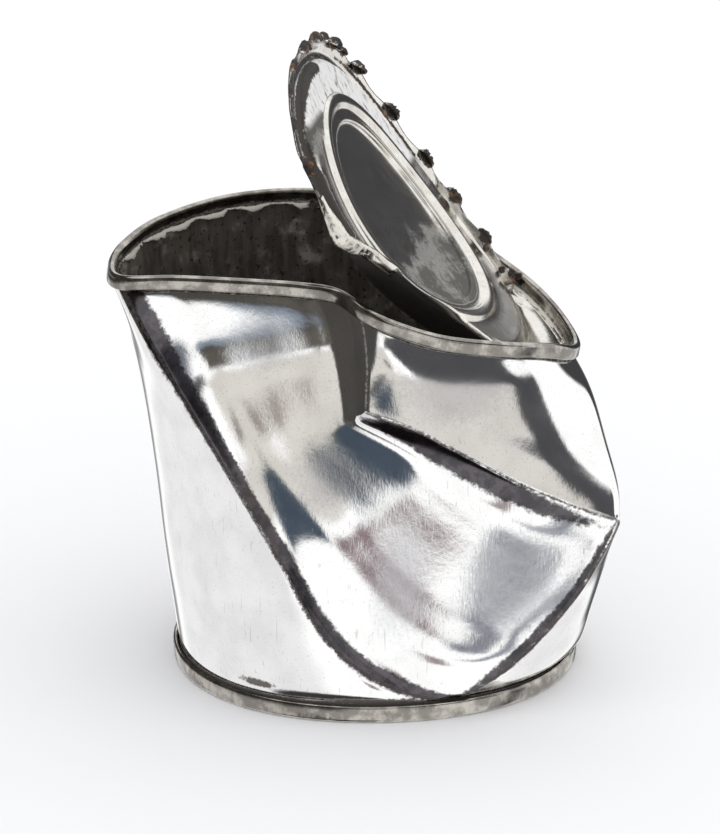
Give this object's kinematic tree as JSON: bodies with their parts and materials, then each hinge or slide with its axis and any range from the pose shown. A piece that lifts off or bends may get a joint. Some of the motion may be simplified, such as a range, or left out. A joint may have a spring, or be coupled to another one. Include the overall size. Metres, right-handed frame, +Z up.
{
  "type": "crushed food can",
  "caption": "Opened food can of bare tinplate, crushed from the front into sharp folds, with its cut and ragged lid bent up on an uncut strip.",
  "frame": {"origin": "centre of the part's box seen from above, at the height of the surface that the can stands on", "axes": "+Z is up, -Y is the dented front, and the lid hangs on at the +X end"},
  "size_m": [0.0918, 0.075, 0.1148],
  "materials": {
    "bright_tinplate": "bright tinplate, mirror-like with fine scratches and light stains",
    "dull_tinplate": "dull tinplate, grimy, with rust on the cut edges"
  },
  "bodies": {
    "root": {"can_body": "bright_tinplate", "bottom_end": "dull_tinplate", "top_end": "dull_tinplate"}
  },
  "joints": []
}
